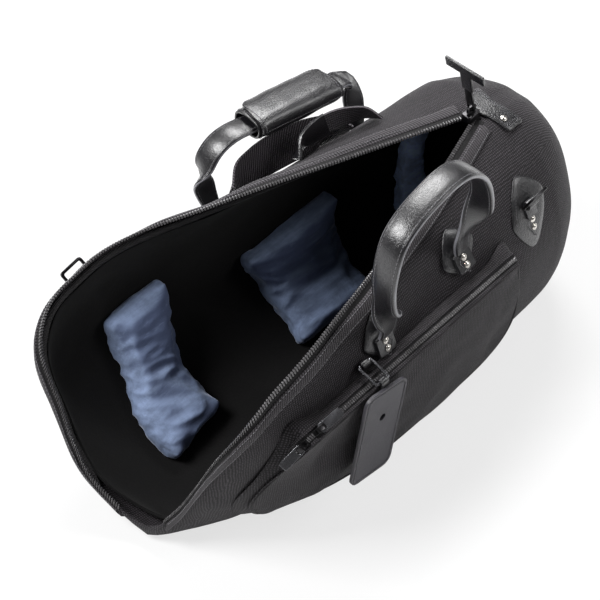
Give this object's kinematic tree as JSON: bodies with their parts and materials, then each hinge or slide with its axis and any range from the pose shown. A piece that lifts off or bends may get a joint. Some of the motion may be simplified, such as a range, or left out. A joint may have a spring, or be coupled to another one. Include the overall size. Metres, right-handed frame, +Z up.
{
  "type": "flugelhorn gig bag",
  "caption": "Padded soft gig bag for a flugelhorn, open along its long zipped mouth, with carry handles, ring hangers, bellows pocket, tag and velour support blocks",
  "frame": {"origin": "middle of the outline on the ground under the flat base", "axes": "X runs from the pointed narrow end to the round bell end, Y from the pocket side to the back, Z up"},
  "size_m": [0.5784, 0.325, 0.3608],
  "materials": {
    "nylon": "black woven nylon, matte",
    "lining": "black brushed lining",
    "foam": "closed-cell foam, hidden",
    "binding": "black ribbed binding",
    "tape": "black woven zip tape",
    "coil": "black nylon coil",
    "leather": "black grained leather, semi-gloss",
    "webbing": "black ribbed webbing",
    "gunmetal": "polished gunmetal",
    "nickel": "polished nickel",
    "velour": "dusty blue crushed velour"
  },
  "bodies": {
    "bag": {"outer_shell": "nylon", "foam_core": "foam", "lining": "lining", "rim_binding_front": "binding", "zip_tape_front": "tape", "zip_coil_front": "coil", "rim_binding_back": "binding", "zip_tape_back": "tape", "zip_coil_back": "coil", "front_handle_narrow_patch": "leather", "front_handle_narrow_end": "leather", "front_handle_narrow_rivet_1": "nickel", "front_handle_narrow_rivet_2": "nickel", "front_handle_bell_patch": "leather", "front_handle_bell_end": "leather", "front_handle_bell_rivet_1": "nickel", "front_handle_bell_rivet_2": "nickel", "back_handle_narrow_patch": "leather", "back_handle_narrow_end": "leather", "back_handle_narrow_rivet_1": "nickel", "back_handle_narrow_rivet_2": "nickel", "back_handle_bell_patch": "leather", "back_handle_bell_end": "leather", "back_handle_bell_rivet_1": "nickel", "back_handle_bell_rivet_2": "nickel", "ring_hanger_bell_patch": "leather", "ring_hanger_bell_loop": "leather", "ring_hanger_bell_rivet_1": "nickel", "ring_hanger_bell_rivet_2": "nickel", "ring_hanger_narrow_patch": "leather", "ring_hanger_narrow_loop": "leather", "ring_hanger_narrow_rivet_1": "nickel", "main_slider": "gunmetal", "main_slider_bail": "gunmetal", "end_tab": "leather", "end_tab_rivet": "nickel", "tag_loop": "leather", "pocket_panel": "nylon", "pocket_gusset": "nylon", "pocket_zip": "coil", "webbing_low": "webbing", "webbing_high": "webbing"},
    "front_handle": {"front_handle": "leather"},
    "back_handle": {"back_handle": "leather", "grip_wrap": "leather"},
    "grip_flap": {"grip_flap": "leather"},
    "bell_ring": {"ring_hanger_bell_ring": "gunmetal"},
    "narrow_ring": {"ring_hanger_narrow_ring": "gunmetal"},
    "pull_tab": {"main_pull_tab": "gunmetal"},
    "pull_leather": {"main_pull_leather": "leather"},
    "pocket_slider_top": {"pocket_slider_top": "gunmetal"},
    "pocket_slider_top_tab": {"pocket_slider_top_tab": "gunmetal"},
    "pocket_slider_end": {"pocket_slider_end": "gunmetal"},
    "pocket_slider_end_tab": {"pocket_slider_end_tab": "gunmetal"},
    "tag_ring": {"tag_ring": "nickel"},
    "luggage_tag": {"tag_strap": "leather", "luggage_tag": "leather"},
    "narrow_end_block": {"narrow_end_block": "velour"},
    "middle_block": {"middle_block": "velour"},
    "bell_end_block": {"bell_end_block": "velour"}
  },
  "joints": [
    {"name": "front_handle_fold", "type": "hinge", "parent": "bag", "child": "front_handle", "pos_m": [-0.05675, -0.12616, 0.19636], "axis": [0.9917, 0.0863, 0.0954], "range_deg": [-14, 66]},
    {"name": "back_handle_fold", "type": "hinge", "parent": "bag", "child": "back_handle", "pos_m": [-0.03368, 0.12283, 0.16144], "axis": [0.9929, -0.1183, -0.0142], "range_deg": [-35, 0]},
    {"name": "grip_flap_open", "type": "hinge", "parent": "back_handle", "child": "grip_flap", "pos_m": [0.07945, 0.10719, 0.22835], "axis": [0.9899, -0.0659, -0.1257], "range_deg": [0, 110]},
    {"name": "bell_ring_swing", "type": "hinge", "parent": "bag", "child": "bell_ring", "pos_m": [0.16095, -0.1199, 0.19721], "axis": [0.999, 0.0443, -0.0109], "range_deg": [-12, 40]},
    {"name": "narrow_ring_swing", "type": "hinge", "parent": "bag", "child": "narrow_ring", "pos_m": [-0.18348, 0.14736, 0.15465], "axis": [-0.9839, -0.0354, -0.175], "range_deg": [-12, 40]},
    {"name": "pull_tab_swing", "type": "hinge", "parent": "bag", "child": "pull_tab", "pos_m": [0.16708, -0.03311, 0.2597], "axis": [0, 1, 0], "range_deg": [-40, 60]},
    {"name": "pull_leather_bend", "type": "hinge", "parent": "pull_tab", "child": "pull_leather", "pos_m": [0.15795, -0.03311, 0.29152], "axis": [0, 1, 0], "range_deg": [-35, 35]},
    {"name": "pocket_top_slide", "type": "slide", "parent": "bag", "child": "pocket_slider_top", "axis": [0.9998, 0, 0.0216], "range_m": [0, 0.055]},
    {"name": "pocket_top_tab_swing", "type": "hinge", "parent": "pocket_slider_top", "child": "pocket_slider_top_tab", "pos_m": [-0.16154, -0.14685, 0.17541], "axis": [0.0091, -0.9063, -0.4225], "range_deg": [-20, 120]},
    {"name": "pocket_end_slide", "type": "slide", "parent": "bag", "child": "pocket_slider_end", "axis": [-0.532, 0.3567, -0.7679], "range_m": [0, 0.006]},
    {"name": "pocket_end_tab_swing", "type": "hinge", "parent": "pocket_slider_end", "child": "pocket_slider_end_tab", "pos_m": [-0.18295, -0.14378, 0.16435], "axis": [-0.1633, 0.8467, 0.5064], "range_deg": [-15, 100]},
    {"name": "tag_ring_swing", "type": "hinge", "parent": "bag", "child": "tag_ring", "pos_m": [-0.08572, -0.12886, 0.18074], "axis": [1, 0, 0], "range_deg": [-70, 0]},
    {"name": "luggage_tag_swing", "type": "hinge", "parent": "tag_ring", "child": "luggage_tag", "pos_m": [-0.08572, -0.15097, 0.17604], "axis": [1, 0, 0], "range_deg": [-75, 0]},
    {"name": "narrow_block_lift", "type": "slide", "parent": "bag", "child": "narrow_end_block", "axis": [0, -0.342, 0.9397], "range_m": [0, 0.05]},
    {"name": "middle_block_lift", "type": "slide", "parent": "bag", "child": "middle_block", "axis": [-0.1961, -0.4903, 0.8492], "range_m": [0, 0.018]},
    {"name": "bell_block_lift", "type": "slide", "parent": "bag", "child": "bell_end_block", "axis": [-0.5, -0.866, 0], "range_m": [0, 0.05]}
  ]
}
